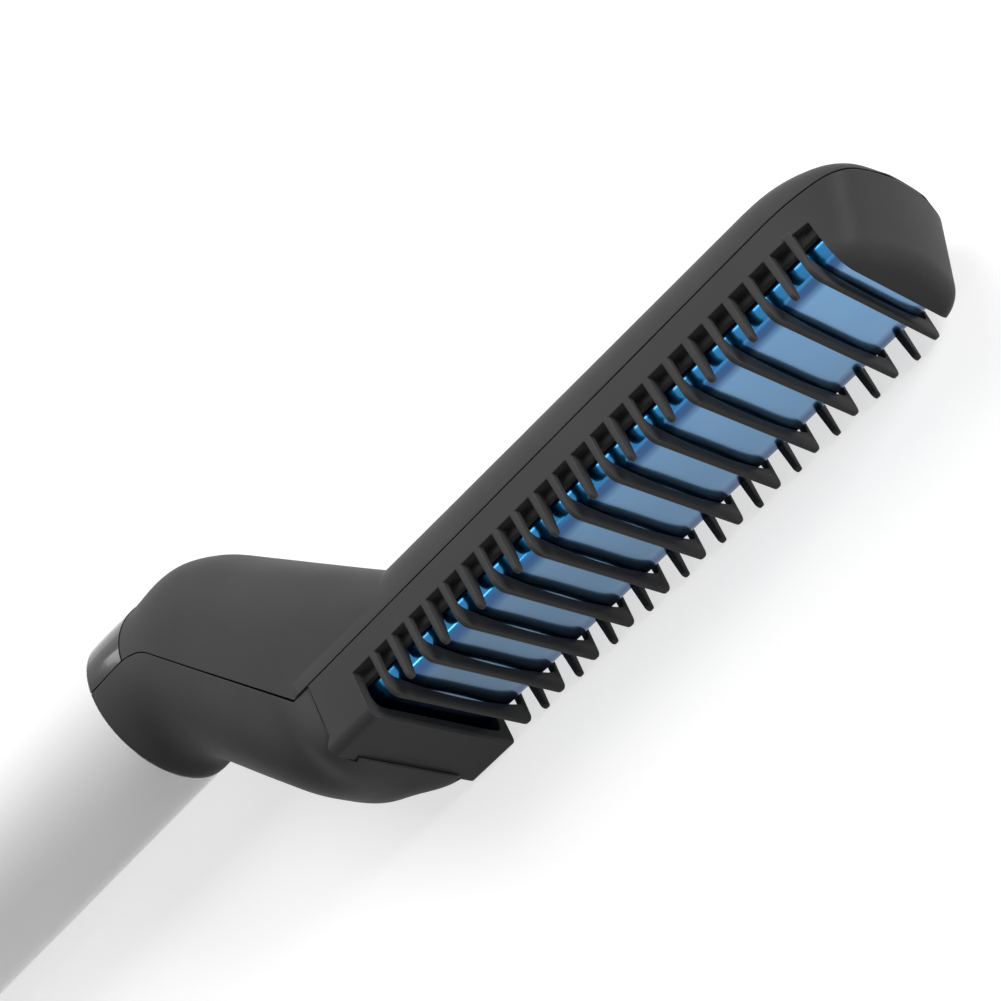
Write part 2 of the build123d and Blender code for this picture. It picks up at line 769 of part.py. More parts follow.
def bar_on(y, height, start_x, length, half_width):
    """Flat bar along X that stands on the level y."""
    with BuildPart() as bar:
        with BuildSketch(Plane.XZ.offset(-y)):
            with Locations((start_x, 0)):
                Rectangle(length, 2 * half_width, align=(Align.MIN, Align.CENTER))
        extrude(amount=-height)
    return bar


film_margin = 1.5
insulating_film = bar_on(
    plate_floor_y,
    film_thickness,
    heater_start_x - film_margin,
    heater_length + 2 * film_margin,
    heater_half_width + film_margin,
)
insulating_film.part.label = "insulating_film"
export_step(insulating_film.part, "parts/insulating_film.step")

with BuildPart() as ptc_heater:
    with BuildSketch(Plane.XZ.offset(-heater_y)):
        with Locations((heater_start_x, 0)):
            Rectangle(heater_length, 2 * heater_half_width, align=(Align.MIN, Align.CENTER))
    extrude(amount=-heater_height)
    fillet(ptc_heater.edges().filter_by(Axis.X), heater_height / 4)
ptc_heater.part.label = "ptc_heater"
export_step(ptc_heater.part, "parts/ptc_heater.step")

# leaf spring, bowed between the heater and the bracket
spring_start = heater_start_x + heater_length / 6
spring_end = heater_start_x + heater_length * 5 / 6
with BuildPart() as pressure_spring:
    with BuildSketch(Plane.XY.offset(-spring_half_width)):
        with BuildLine():
            outer = ThreePointArc(
                (spring_start, heater_y + heater_height + spring_thickness),
                ((spring_start + spring_end) / 2, bracket_y),
                (spring_end, heater_y + heater_height + spring_thickness),
            )
            inner = ThreePointArc(
                (spring_start, heater_y + heater_height),
                ((spring_start + spring_end) / 2, bracket_y - spring_thickness),
                (spring_end, heater_y + heater_height),
            )
            Line(outer @ 0, inner @ 0)
            Line(outer @ 1, inner @ 1)
        make_face()
    extrude(amount=2 * spring_half_width)
pressure_spring.part.label = "pressure_spring"
export_step(pressure_spring.part, "parts/pressure_spring.step")

# bracket: a strip from heel to nose with skirts that press the plate's flanges on the ledge
skirt_foot_y = ledge_top_y + flange_thickness + bracket_skirt_gap
bracket_start_x = first_rib_x - bracket_boss_x - boss_radius
bracket_end_x = last_rib_x + nose_boss_x + boss_radius
with BuildPart() as heater_bracket:
    with BuildSketch(Plane.XZ.offset(-bracket_y)):
        with Locations((bracket_start_x, 0)):
            Rectangle(
                bracket_end_x - bracket_start_x,
                2 * (nose_boss_z + boss_radius),
                align=(Align.MIN, Align.CENTER),
            )
        with Locations((heater_start_x, 0)):
            Rectangle(heater_length, 2 * bracket_half_width, align=(Align.MIN, Align.CENTER))
        with Locations((bracket_start_x, 0)):
            Rectangle(
                2 * boss_radius,
                2 * (bracket_boss_z + boss_radius),
                align=(Align.MIN, Align.CENTER),
            )
    extrude(amount=-bracket_thickness)
    for side in (-1, 1):
        with BuildSketch(Plane.XZ.offset(-skirt_foot_y)):
            with Locations((heater_start_x, side * (bracket_half_width - bracket_thickness / 2))):
                Rectangle(heater_length, bracket_thickness, align=(Align.MIN, Align.CENTER))
        extrude(amount=-(bracket_y + bracket_thickness - skirt_foot_y))
    with BuildSketch(Plane.XZ.offset(-bracket_y)):
        with Locations(*bracket_screw_places):
            Circle(screw_radius + 3 * screw_gap)
    extrude(amount=-bracket_thickness, mode=Mode.SUBTRACT)
heater_bracket.part.label = "heater_bracket"
export_step(heater_bracket.part, "parts/heater_bracket.step")


def screw_set(places, head_plane_y, direction):
    """Pan-head screws along Y: heads from the level head_plane_y, shanks the other way."""
    with BuildPart() as screws:
        with BuildSketch(Plane.XZ.offset(-head_plane_y)):
            with Locations(*places):
                Circle(screw_head_radius)
        extrude(amount=-direction * screw_head_height)
        with BuildSketch(Plane.XZ.offset(-head_plane_y)):
            with Locations(*places):
                Circle(screw_radius)
        extrude(amount=direction * (screw_length - screw_gap))
    return screws


bracket_screws = screw_set(bracket_screw_places, bracket_y + bracket_thickness, 1)
bracket_screws.part.label = "bracket_screws"
export_step(bracket_screws.part, "parts/bracket_screws.step")

clamp_screws = screw_set([(clamp_x, clamp_z), (clamp_x, -clamp_z)], screw_head_height - screw_length, -1)
clamp_screws.part.label = "clamp_screws"
export_step(clamp_screws.part, "parts/clamp_screws.step")

# thermal fuse: a small cartridge on the bracket, a wire end at each side
fuse_radius = 1.7
fuse_length = 9.0
fuse_wire_radius = 0.4
fuse_wire_length = 4.0
fuse_x = first_rib_x + 2.5 * rib_pitch
with BuildPart() as thermal_fuse:
    with BuildSketch(Plane.YZ.offset(fuse_x)):
        with Locations((bracket_y + bracket_thickness + fuse_radius, 0)):
            Circle(fuse_radius)
    extrude(amount=fuse_length)
    chamfer(thermal_fuse.edges().filter_by(GeomType.CIRCLE), fuse_radius / 4)
    with BuildSketch(Plane.YZ.offset(fuse_x - fuse_wire_length)):
        with Locations((bracket_y + bracket_thickness + fuse_radius, 0)):
            Circle(fuse_wire_radius)
    extrude(amount=fuse_length + 2 * fuse_wire_length)
thermal_fuse.part.label = "thermal_fuse"
export_step(thermal_fuse.part, "parts/thermal_fuse.step")

# thermistor bead in the plate's corner beside the heater
bead_radius = 0.9
bead_length = 4.0
bead_x = first_rib_x + 6.5 * rib_pitch
bead_z = (heater_half_width + film_margin + plate_half_width - plate_thickness) / 2
with BuildPart() as thermistor:
    with BuildSketch(Plane.YZ.offset(bead_x)):
        with Locations((plate_floor_y + bead_radius, bead_z)):
            Circle(bead_radius)
    extrude(amount=bead_length)
    fillet(thermistor.edges().filter_by(GeomType.CIRCLE), bead_radius / 2)
thermistor.part.label = "thermistor"
export_step(thermistor.part, "parts/thermistor.step")


# ---------------------------------------------------------------- handle tube, open at both ends
with BuildPart() as handle_tube:
    with BuildSketch(Plane.YZ.offset(cap_length + panel_gap)):
        Circle(handle_radius)
        Circle(tube_bore, mode=Mode.SUBTRACT)
    extrude(amount=rim_x - panel_gap - cap_length - panel_gap)
    with BuildSketch(Plane.XZ):
        add(tongue_plan(panel_gap))
    extrude(amount=-far, mode=Mode.SUBTRACT)
handle_tube.part.label = "handle_tube"
export_step(handle_tube.part, "parts/handle_tube.step")


# ---------------------------------------------------------------- control panel, button and light
button_hole_radius = button_radius + button_gap
button_place = (rim_x - button_x, 0)
led_place = (rim_x - led_x, 0)
with BuildPart() as control_panel:
    with BuildSketch(Plane.XY):
        add(panel_profile(seam))
    extrude(amount=far, both=True)
    with BuildSketch(Plane.XZ):
        add(tongue_plan(0))
    extrude(amount=-far)
    add(panel_form, mode=Mode.INTERSECT)
    with BuildSketch(Plane.YZ.offset(rim_x - tongue_length)):
        Circle(tube_bore)
    extrude(amount=far, mode=Mode.SUBTRACT)
    with BuildSketch(Plane.XZ):
        with Locations(button_place):
            Circle(button_hole_radius)
        with Locations(led_place):
            Circle(led_radius + screw_gap)
    extrude(amount=-far, mode=Mode.SUBTRACT)
control_panel.part.label = "control_panel"
export_step(control_panel.part, "parts/control_panel.step")

with BuildPart() as power_button:
    with BuildSketch(Plane.XZ.offset(-flange_y)):
        with Locations(button_place):
            Circle(button_radius)
    extrude(amount=flange_y - handle_radius - button_proud)
    fillet(power_button.faces().sort_by(Axis.Y)[-1].edges(), button_edge_radius)
    with BuildSketch(Plane.XZ.offset(-flange_y)):
        with Locations(button_place):
            Circle(flange_radius)
    extrude(amount=button_flange)
    with BuildSketch(Plane.XZ.offset(button_flange - flange_y)):
        with Locations(button_place):
            Circle(button_stem_radius)
    extrude(amount=button_stem_length)
power_button.part.label = "power_button"
export_step(power_button.part, "parts/power_button.step")

# key switch: a square body with a round plunger that the button rests on
switch_half_width = 3.0
plunger_depth = 2.0            # of the hole that the plunger slides in
plunger_floor_gap = 0.2        # left under the plunger when it is pressed
with BuildPart() as key_switch:
    with BuildSketch(Plane.XZ.offset(-board_top)):
        with Locations(button_place):
            Rectangle(2 * switch_half_width, 2 * switch_half_width)
    extrude(amount=-switch_height)
    with BuildSketch(Plane.XZ.offset(-switch_top)):
        with Locations(button_place):
            Circle(switch_plunger_radius + screw_gap)
    extrude(amount=plunger_depth, mode=Mode.SUBTRACT)
key_switch.part.label = "key_switch"
export_step(key_switch.part, "parts/key_switch.step")

with BuildPart() as switch_plunger:
    with BuildSketch(Plane.XZ.offset(-plunger_top)):
        with Locations(button_place):
            Circle(switch_plunger_radius)
    extrude(amount=plunger_rest + plunger_depth - plunger_floor_gap)
switch_plunger.part.label = "switch_plunger"
export_step(switch_plunger.part, "parts/switch_plunger.step")

led_body_radius = 1.5
led_dome_radius = 1.2
led_height = 3.2
with BuildPart() as status_led:
    with BuildSketch(Plane.XZ.offset(-board_top)):
        with Locations(led_place):
            Circle(led_body_radius)
    extrude(amount=-led_height)
    fillet(status_led.faces().sort_by(Axis.Y)[-1].edges(), led_dome_radius)
status_led.part.label = "status_led"
export_step(status_led.part, "parts/status_led.step")

light_pipe_y = board_top + led_height + light_gap
with BuildPart() as light_pipe:
    with BuildSketch(Plane.XZ.offset(-light_pipe_y)):
        with Locations(led_place):
            Circle(led_radius)
    extrude(amount=light_pipe_y - handle_radius)
light_pipe.part.label = "light_pipe"
export_step(light_pipe.part, "parts/light_pipe.step")


# ---------------------------------------------------------------- circuit board, its parts and its tray
board_end = rim_x - tail_length - board_gap
board_length = board_end - board_start
board_bottom = board_top - board_thickness
tray_radius = tail_radius - slide_gap
post_radius = 2.4
post_places = [(board_start + share * board_length, 0) for share in post_shares]
component_x = board_start + component_share * board_length

with BuildPart() as circuit_board:
    with BuildSketch(Plane.XZ.offset(-board_bottom)):
        with Locations((board_start, 0)):
            Rectangle(board_length, 2 * board_half_width, align=(Align.MIN, Align.CENTER))
        with Locations(*post_places):
            Circle(screw_radius + 3 * screw_gap, mode=Mode.SUBTRACT)
    extrude(amount=-board_thickness)
circuit_board.part.label = "circuit_board"
export_step(circuit_board.part, "parts/circuit_board.step")

with BuildPart() as board_tray:
    with BuildSketch(Plane.YZ.offset(board_start - tray_margin)):
        Circle(tray_radius)
        Circle(tray_radius - tray_wall, mode=Mode.SUBTRACT)
        with Locations((board_bottom, 0)):
            Rectangle(far, far, align=(Align.MIN, Align.CENTER), mode=Mode.SUBTRACT)
    extrude(amount=board_length + 2 * tray_margin)
    with BuildSketch(Plane.XZ.offset(-board_bottom)):
        with Locations(*post_places):
            Circle(post_radius)
    extrude(amount=board_bottom + tray_radius - tray_wall / 2)
    with BuildSketch(Plane.XZ.offset(-board_bottom)):
        with Locations(*post_places):
            Circle(screw_radius + screw_gap)
    extrude(amount=screw_length, mode=Mode.SUBTRACT)
board_tray.part.label = "board_tray"
export_step(board_tray.part, "parts/board_tray.step")

board_screws = screw_set(post_places, board_top, 1)
board_screws.part.label = "board_screws"
export_step(board_screws.part, "parts/board_screws.step")

capacitor_radius = 3.4
capacitor_length = 14.0
with BuildPart() as main_capacitor:
    with BuildSketch(Plane.YZ.offset(component_x)):
        with Locations((board_top + capacitor_radius, capacitor_radius + component_gap)):
            Circle(capacitor_radius)
    extrude(amount=capacitor_length)
    fillet(main_capacitor.edges().filter_by(GeomType.CIRCLE), capacitor_radius / 6)
main_capacitor.part.label = "main_capacitor"
export_step(main_capacitor.part, "parts/main_capacitor.step")

triac_length = 10.0
triac_height = 3.4
triac_half_width = 3.0
with BuildPart() as power_triac:
    with BuildSketch(Plane.XZ.offset(-board_top)):
        with Locations((component_x, -triac_half_width - 2 * component_gap)):
            Rectangle(triac_length, 2 * triac_half_width, align=(Align.MIN, Align.CENTER))
    extrude(amount=-triac_height)
    chamfer(power_triac.faces().sort_by(Axis.Y)[-1].edges(), triac_height / 8)
power_triac.part.label = "power_triac"
export_step(power_triac.part, "parts/power_triac.step")


# ---------------------------------------------------------------- tail cap and the cord's swivel gland
with BuildPart() as tail_cap:
    with BuildSketch(Plane.YZ):
        Circle(handle_radius)
    extrude(amount=cap_length)
    fillet(tail_cap.faces().sort_by(Axis.X)[0].edges(), cap_edge_radius)
    with BuildSketch(Plane.YZ.offset(cap_length)):
        Circle(tail_radius)
    extrude(amount=cap_spigot)
    with BuildSketch(Plane.YZ.offset(cap_wall)):
        Circle(tail_radius - tail_wall)
    extrude(amount=far, mode=Mode.SUBTRACT)
    with BuildSketch(Plane.YZ):
        Circle(journal_radius + journal_gap)
    extrude(amount=cap_wall, mode=Mode.SUBTRACT)
tail_cap.part.label = "tail_cap"
export_step(tail_cap.part, "parts/tail_cap.step")

clip_thickness = 0.8
clip_rim = 2.2                 # how far the clip stands out past the journal
clip_gap = 0.1
clip_x = cap_wall + clip_gap
groove_depth = 0.6
groove_radius = journal_radius - groove_depth
gland_flange = 1.5
with BuildPart() as cord_gland:
    with BuildSketch(Plane.XY) as profile:
        with BuildLine():
            Polyline(
                (-gland_length, gland_bore_radius),
                (-gland_length, gland_mouth_radius),
                (-clip_gap - gland_flange, gland_radius),
                (-clip_gap, gland_radius),
                (-clip_gap, journal_radius),
                (clip_x, journal_radius),
                (clip_x, groove_radius),
                (clip_x + clip_thickness + clip_gap, groove_radius),
                (clip_x + clip_thickness + clip_gap, journal_radius),
                (clip_x + 2 * clip_thickness + clip_gap, journal_radius),
                (clip_x + 2 * clip_thickness + clip_gap, swivel_core_radius),
                (swivel_length, swivel_core_radius),
                (swivel_length, gland_bore_radius),
                close=True,
            )
        make_face()
    revolve(axis=Axis.X)
cord_gland.part.label = "cord_gland"
export_step(cord_gland.part, "parts/cord_gland.step")

with BuildPart() as retaining_clip:
    with BuildSketch(Plane.YZ.offset(clip_x + clip_gap / 2)):
        Circle(journal_radius + clip_rim)
        Circle(groove_radius + screw_gap, mode=Mode.SUBTRACT)
        Rectangle(far, groove_radius, align=(Align.MAX, Align.CENTER), mode=Mode.SUBTRACT)
    extrude(amount=clip_thickness)
retaining_clip.part.label = "retaining_clip"
export_step(retaining_clip.part, "parts/retaining_clip.step")

ring_lead = 1.5                # the journal's end to the first ring
ring_gap = 1.3
ring_start = clip_x + 2 * clip_thickness + ring_lead
ring_step = ring_width + ring_gap
ring_xs = [ring_start, ring_start + ring_step]
with BuildPart() as slip_rings:
    for x in ring_xs:
        with BuildSketch(Plane.YZ.offset(x)):
            Circle(ring_radius)
            Circle(swivel_core_radius, mode=Mode.SUBTRACT)
        extrude(amount=ring_width)
slip_rings.part.label = "slip_rings"
export_step(slip_rings.part, "parts/slip_rings.step")

# contact block under the cap's spigot, and the two brushes that bear on the rings
brush_gap = 0.1
brush_rise = 2.6               # ring to block
block_y = ring_radius + brush_rise
block_half_width = 5.0
block_margin = 0.5
block_start_x = ring_start - block_margin
block_length = ring_step + ring_width + 2 * block_margin
with BuildPart() as contact_block:
    with BuildSketch(Plane.YZ.offset(block_start_x)):
        Circle(tail_radius - tail_wall - brush_gap)
        with Locations((block_y, 0)):
            Rectangle(
                far, 2 * block_half_width, align=(Align.MIN, Align.CENTER), mode=Mode.INTERSECT
            )
    extrude(amount=block_length)
contact_block.part.label = "contact_block"
export_step(contact_block.part, "parts/contact_block.step")

brush_width = 1.4
brush_thickness = 0.4
brush_root_z = 3.0             # where a brush leaves the block
brush_bend_z = 0.8
brush_reach = 1.6              # its far end, past the ring's top
with BuildPart() as contact_brushes:
    for x in ring_xs:
        with BuildSketch(Plane.YZ.offset(x + (ring_width - brush_width) / 2)):
            with BuildLine():
                Polyline(
                    (block_y, brush_root_z),
                    (ring_radius + brush_gap, brush_bend_z),
                    (ring_radius + brush_gap, -brush_reach),
                    (ring_radius + brush_gap + brush_thickness, -brush_reach),
                    (ring_radius + brush_gap + brush_thickness, brush_bend_z - brush_thickness / 2),
                    (block_y, brush_root_z - brush_thickness),
                    close=True,
                )
            make_face()
        extrude(amount=brush_width)
contact_brushes.part.label = "contact_brushes"
export_step(contact_brushes.part, "parts/contact_brushes.step")


# ---------------------------------------------------------------- wires: straight runs joined by arcs
def wire(points, radii, radius):
    """Round wire along straight runs joined by arcs."""
    with BuildPart() as run:
        with BuildLine() as path:
            FilletPolyline(*points, radius=radii)
        with BuildSketch(Plane(origin=path.line @ 0, z_dir=path.line % 0)):
            Circle(radius)
        sweep()
    return run.part


# heater leads run back over the heel's ledge, up inside the neck and onto the board
lead_y = (ledge_top_y + bracket_y) / 2
lead_end_y = board_top + lead_radius
lead_z = 3.0
lead_heater_z = 4.0
lead_tail = 4.0                # the straight end that is soldered on the board
lead_bends = [2.0, 2.0, 8.0, 8.0, 8.0, 4.0]
# the neck's middle, level with the bend of its back
lead_bend_y = back_bend[1] - back_corner
lead_bend_x = rim_x + back_corner - lead_radius
with BuildPart() as heater_leads:
    for side in (-1, 1):
        add(
            wire(
                [
                    (heater_start_x, heater_y + heater_height / 2, side * lead_heater_z),
                    (first_rib_x - lead_radius, heater_y + heater_height / 2, side * lead_heater_z),
                    (first_rib_x - plate_tail, lead_y, side * lead_z),
                    (heel_x - 2 * lead_radius, lead_y, side * lead_z),
                    (lead_bend_x, lead_bend_y, side * lead_z),
                    (rim_x + panel_corner, board_top / 2, side * lead_z),
                    (board_end + lead_radius, lead_end_y, side * lead_z),
                    (board_end - lead_tail, lead_end_y, side * lead_z),
                ],
                lead_bends,
                lead_radius,
            )
        )
heater_leads.part.label = "heater_leads"
export_step(heater_leads.part, "parts/heater_leads.step")

# supply leads from the contact block to the board's tail end
supply_start_z = 2.0
supply_end_z = 4.0
supply_y = block_y + 2 * lead_radius
supply_bend = 1.5
block_end_x = block_start_x + block_length
with BuildPart() as supply_leads:
    for side in (-1, 1):
        add(
            wire(
                [
                    (block_end_x, supply_y, side * supply_start_z),
                    (block_end_x + 2 * supply_bend, supply_y, side * supply_start_z),
                    (board_start + lead_radius, lead_end_y, side * supply_end_z),
                    (board_start + lead_tail, lead_end_y, side * supply_end_z),
                ],
                [supply_bend, supply_bend],
                lead_radius,
            )
        )
supply_leads.part.label = "supply_leads"
export_step(supply_leads.part, "parts/supply_leads.step")
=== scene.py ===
"""Looks of a heated comb: finishes for its moulded, coated and metal pieces, a studio and a camera.

Every piece keeps the place of its CAD node. Two of them get a finer shape: the plate's face is
crowned, and the comb's outer edges are rounded. The script gives each sub-assembly its finishes
and lights the comb on a pale floor.
"""

from __future__ import annotations

import logging
import math
from dataclasses import dataclass, field
from enum import Enum

import bmesh
import bpy
from mathutils import Matrix, Vector

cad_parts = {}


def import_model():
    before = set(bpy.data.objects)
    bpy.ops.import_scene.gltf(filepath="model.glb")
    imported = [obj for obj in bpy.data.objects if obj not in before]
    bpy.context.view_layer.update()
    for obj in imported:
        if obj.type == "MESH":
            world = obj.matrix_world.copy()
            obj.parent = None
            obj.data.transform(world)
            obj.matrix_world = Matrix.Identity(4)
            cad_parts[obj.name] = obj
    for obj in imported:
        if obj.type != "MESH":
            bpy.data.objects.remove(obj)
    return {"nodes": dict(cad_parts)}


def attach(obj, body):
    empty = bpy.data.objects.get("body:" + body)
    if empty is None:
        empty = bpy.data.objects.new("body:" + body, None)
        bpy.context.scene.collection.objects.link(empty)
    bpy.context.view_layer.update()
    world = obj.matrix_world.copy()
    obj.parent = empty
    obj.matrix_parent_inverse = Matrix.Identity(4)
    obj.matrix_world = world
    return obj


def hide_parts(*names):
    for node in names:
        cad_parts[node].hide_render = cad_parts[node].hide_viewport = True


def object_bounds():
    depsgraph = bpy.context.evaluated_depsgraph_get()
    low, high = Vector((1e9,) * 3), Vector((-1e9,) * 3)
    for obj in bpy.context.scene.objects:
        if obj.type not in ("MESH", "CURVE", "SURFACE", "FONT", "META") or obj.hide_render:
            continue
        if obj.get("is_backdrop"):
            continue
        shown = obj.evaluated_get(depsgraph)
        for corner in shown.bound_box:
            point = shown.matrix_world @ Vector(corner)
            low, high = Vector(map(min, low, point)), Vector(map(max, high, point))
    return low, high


LOG = logging.getLogger("hot_comb")
MM = 0.001
WELD = 1e-6  # metres within which two vertices are one
FLAT = math.radians(0.4)  # faces that meet at less than this are one face
SHARP = math.radians(32.0)  # edges that turn by more than this are creases
PLASTIC_IOR = 1.5

Colour = tuple[float, float, float]
Point = tuple[float, float, float]
Range = tuple[float, float]

BLACK: Colour = (0.0, 0.0, 0.0)
WHITE: Colour = (1.0, 1.0, 1.0)


# ---------------------------------------------------------------- shader tools
class Link:
    """A socket with arithmetic: an expression on links adds the Math nodes that work it out."""

    def __init__(self, graph: Graph, socket: bpy.types.NodeSocket) -> None:
        """Keep the socket and the graph that its new nodes go into."""
        self.graph = graph
        self.socket = socket

    def _math(self, operation: str, *values: Link | float) -> Link:
        """Add one Math node.

        Args:
            operation: the Math node's operation.
            values: its inputs, in order.

        Returns:
            The node's result.
        """
        return self.graph.node("ShaderNodeMath", {"operation": operation}, dict(enumerate(values)))

    def __add__(self, other: Link | float) -> Link:
        """Sum."""
        return self._math("ADD", self, other)

    def __radd__(self, other: float) -> Link:
        """Sum with a number on the left."""
        return self._math("ADD", other, self)

    def __sub__(self, other: Link | float) -> Link:
        """Difference."""
        return self._math("SUBTRACT", self, other)

    def __rsub__(self, other: float) -> Link:
        """Difference from a number."""
        return self._math("SUBTRACT", other, self)

    def __mul__(self, other: Link | float) -> Link:
        """Product."""
        return self._math("MULTIPLY", self, other)

    def __rmul__(self, other: float) -> Link:
        """Product with a number on the left."""
        return self._math("MULTIPLY", other, self)

    def size(self) -> Link:
        """Value without its sign."""
        return self._math("ABSOLUTE", self)

    def clamp(self, low: float, high: float) -> Link:
        """Limit the value to a range."""
        return self._math("MINIMUM", self._math("MAXIMUM", self, low), high)

    def share(self, start: float, end: float) -> Link:
        """How far the value has come from one number to another, from 0 to 1."""
        return ((self - start) * (1.0 / (end - start))).clamp(0.0, 1.0)

    def between(self, low: float, high: float) -> Link:
        """Number that goes from low to high as the value goes from 0 to 1."""
        return low + (high - low) * self


class Graph:
    """The node tree of a material or a world."""

    def __init__(self, owner: bpy.types.Material | bpy.types.World, output: str) -> None:
        """Start an empty tree that holds only its output node.

        Args:
            owner: the material or world.
            output: the output node's type.
        """
        owner.use_nodes = True
        self.tree = owner.node_tree
        self.tree.nodes.clear()
        self.output = self.tree.nodes.new(output)

    def node(
        self,
        kind: str,
        settings: dict[str, object] | None = None,
        inputs: dict[str | int, object] | None = None,
        output: str | int = 0,
    ) -> Link:
        """Add a node.

        Args:
            kind: the node's type.
            settings: properties that are set before its sockets.
            inputs: a value or a Link for each named or numbered socket.
            output: the socket that the result comes from.

        Returns:
            The chosen output.
        """
        made = self.tree.nodes.new(kind)
        for name, value in (settings or {}).items():
            setattr(made, name, value)
        for name, value in (inputs or {}).items():
            if isinstance(value, Link):
                self.tree.links.new(value.socket, made.inputs[name])
            else:
                made.inputs[name].default_value = value
        return Link(self, made.outputs[output])

    def show(self, shader: Link) -> None:
        """Send a shader to the output."""
        self.tree.links.new(shader.socket, self.output.inputs["Surface"])

    def coordinates(self) -> Link:
        """Object coordinates, in metres."""
        return self.node("ShaderNodeTexCoord", output="Object")

    def axis(self, name: str) -> Link:
        """One of the object coordinates."""
        return self.node(
            "ShaderNodeSeparateXYZ", inputs={"Vector": self.coordinates()}, output=name
        )

    def noise(self, scale: float, detail: float = 3.0, roughness: float = 0.5) -> Link:
        """Noise over the object.

        Args:
            scale: how many features lie along a metre.
            detail: octaves.
            roughness: weight of the finer octaves.

        Returns:
            The noise, from 0 to 1.
        """
        return self.node(
            "ShaderNodeTexNoise",
            inputs={
                "Vector": self.coordinates(),
                "Scale": scale,
                "Detail": detail,
                "Roughness": roughness,
            },
        )

    def stretched_noise(self, scale: Point, detail: float) -> Link:
        """Noise with its own number of features per metre along each axis."""
        mapped = self.node(
            "ShaderNodeMapping", inputs={"Vector": self.coordinates(), "Scale": scale}
        )
        return self.node(
            "ShaderNodeTexNoise", inputs={"Vector": mapped, "Scale": 1.0, "Detail": detail}
        )

    def mix(self, share: Link, low: Link | Colour, high: Link | Colour) -> Link:
        """Blend two colours by a share from 0 to 1."""
        ends = [end if isinstance(end, Link) else (*end, 1.0) for end in (low, high)]
        return self.node(
            "ShaderNodeMix", {"data_type": "RGBA"}, {0: share, 6: ends[0], 7: ends[1]}, output=2
        )

    def rounded(self, radius: float) -> Link:
        """Normal that turns softly over the edges.

        Args:
            radius: how far from an edge the turn starts, in metres.

        Returns:
            The rounded normal.
        """
        return self.node("ShaderNodeBevel", {"samples": 4}, {"Radius": radius})

    def edge_mask(self, rounded: Link, gain: float) -> Link:
        """Where the surface is close to a sharp edge.

        Args:
            rounded: the normal that turns over the edges.
            gain: how fast the mask fills.

        Returns:
            1 at an edge, 0 away from it.
        """
        flat = self.node("ShaderNodeNewGeometry", output="Normal")
        kept = self.node(
            "ShaderNodeVectorMath", {"operation": "DOT_PRODUCT"}, {0: rounded, 1: flat}, "Value"
        )
        return ((1.0 - kept) * gain).clamp(0.0, 1.0)

    def bump(
        self, height: Link, distance: float, strength: float, over: Link | None = None
    ) -> Link:
        """Surface normal from a height.

        Args:
            height: the height, where 1 stands for the whole distance.
            distance: metres.
            strength: share of the effect.
            over: the normal that is bent, when it isn't the surface's own.

        Returns:
            The bent normal.
        """
        values = {"Height": height, "Distance": distance, "Strength": strength}
        if over:
            values["Normal"] = over
        return self.node("ShaderNodeBump", inputs=values)


class SurfaceGraph(Graph):
    """The node tree of one material, with its Principled shader."""

    def __init__(self, name: str) -> None:
        """Start a material that shows a Principled shader."""
        self.material = bpy.data.materials.new(name)
        super().__init__(self.material, "ShaderNodeOutputMaterial")
        result = self.node("ShaderNodeBsdfPrincipled")
        self.shader = result.socket.node
        self.show(result)

    def set(self, **values: object) -> None:
        """Set or link the shader's sockets, named in lower case with underscores."""
        for name, value in values.items():
            words = name.replace("_", " ").title().replace("Ior", "IOR")
            if isinstance(value, Link):
                self.tree.links.new(value.socket, self.shader.inputs[words])
            else:
                self.shader.inputs[words].default_value = value


# ---------------------------------------------------------------- finishes
@dataclass(frozen=True)
class Finish:
    """A finish that several pieces may share.

    Its shades are the shares of the colour between which it is mottled. Its unevenness is how far
    the roughness moves below and above its middle. Its relief is the bump's depth in metres, and
    relief_share the share of it that shows.
    """

    name: str
    colour: Colour
    shades: Range = (1.0, 1.0)
    roughness: float = 0.5
    unevenness: Range = (0.0, 0.1)
    relief: float = 0.00001
    relief_share: float = 0.3

    def material(self) -> bpy.types.Material:
        """Make the finish's material, once."""
        label = f"{self.name}_finish"
        known = bpy.data.materials.get(label)
        if known:
            return known
        graph = SurfaceGraph(label)
        self.paint(graph)
        return graph.material

    def paint(self, graph: SurfaceGraph) -> None:
        """Build the finish's nodes."""
        raise NotImplementedError

    def tinted(self, share: float) -> Colour:
        """The colour, scaled by a share."""
        return tuple(min(1.0, channel * share) for channel in self.colour)

    def mottled(self, graph: SurfaceGraph, pattern: Link) -> Link:
        """The colour, moved by a pattern between its two shades."""
        darkest, lightest = self.shades
        return graph.mix(pattern, self.tinted(darkest), self.tinted(lightest))

    def uneven(self, pattern: Link) -> Link:
        """The roughness, moved by a pattern through its unevenness."""
        below, above = self.unevenness
        return pattern.between(self.roughness + below, self.roughness + above)

    def bent(self, graph: SurfaceGraph, height: Link, over: Link | None = None) -> Link:
        """The normal, bent by a height pattern of the finish's relief."""
        return graph.bump(height, self.relief, self.relief_share, over)


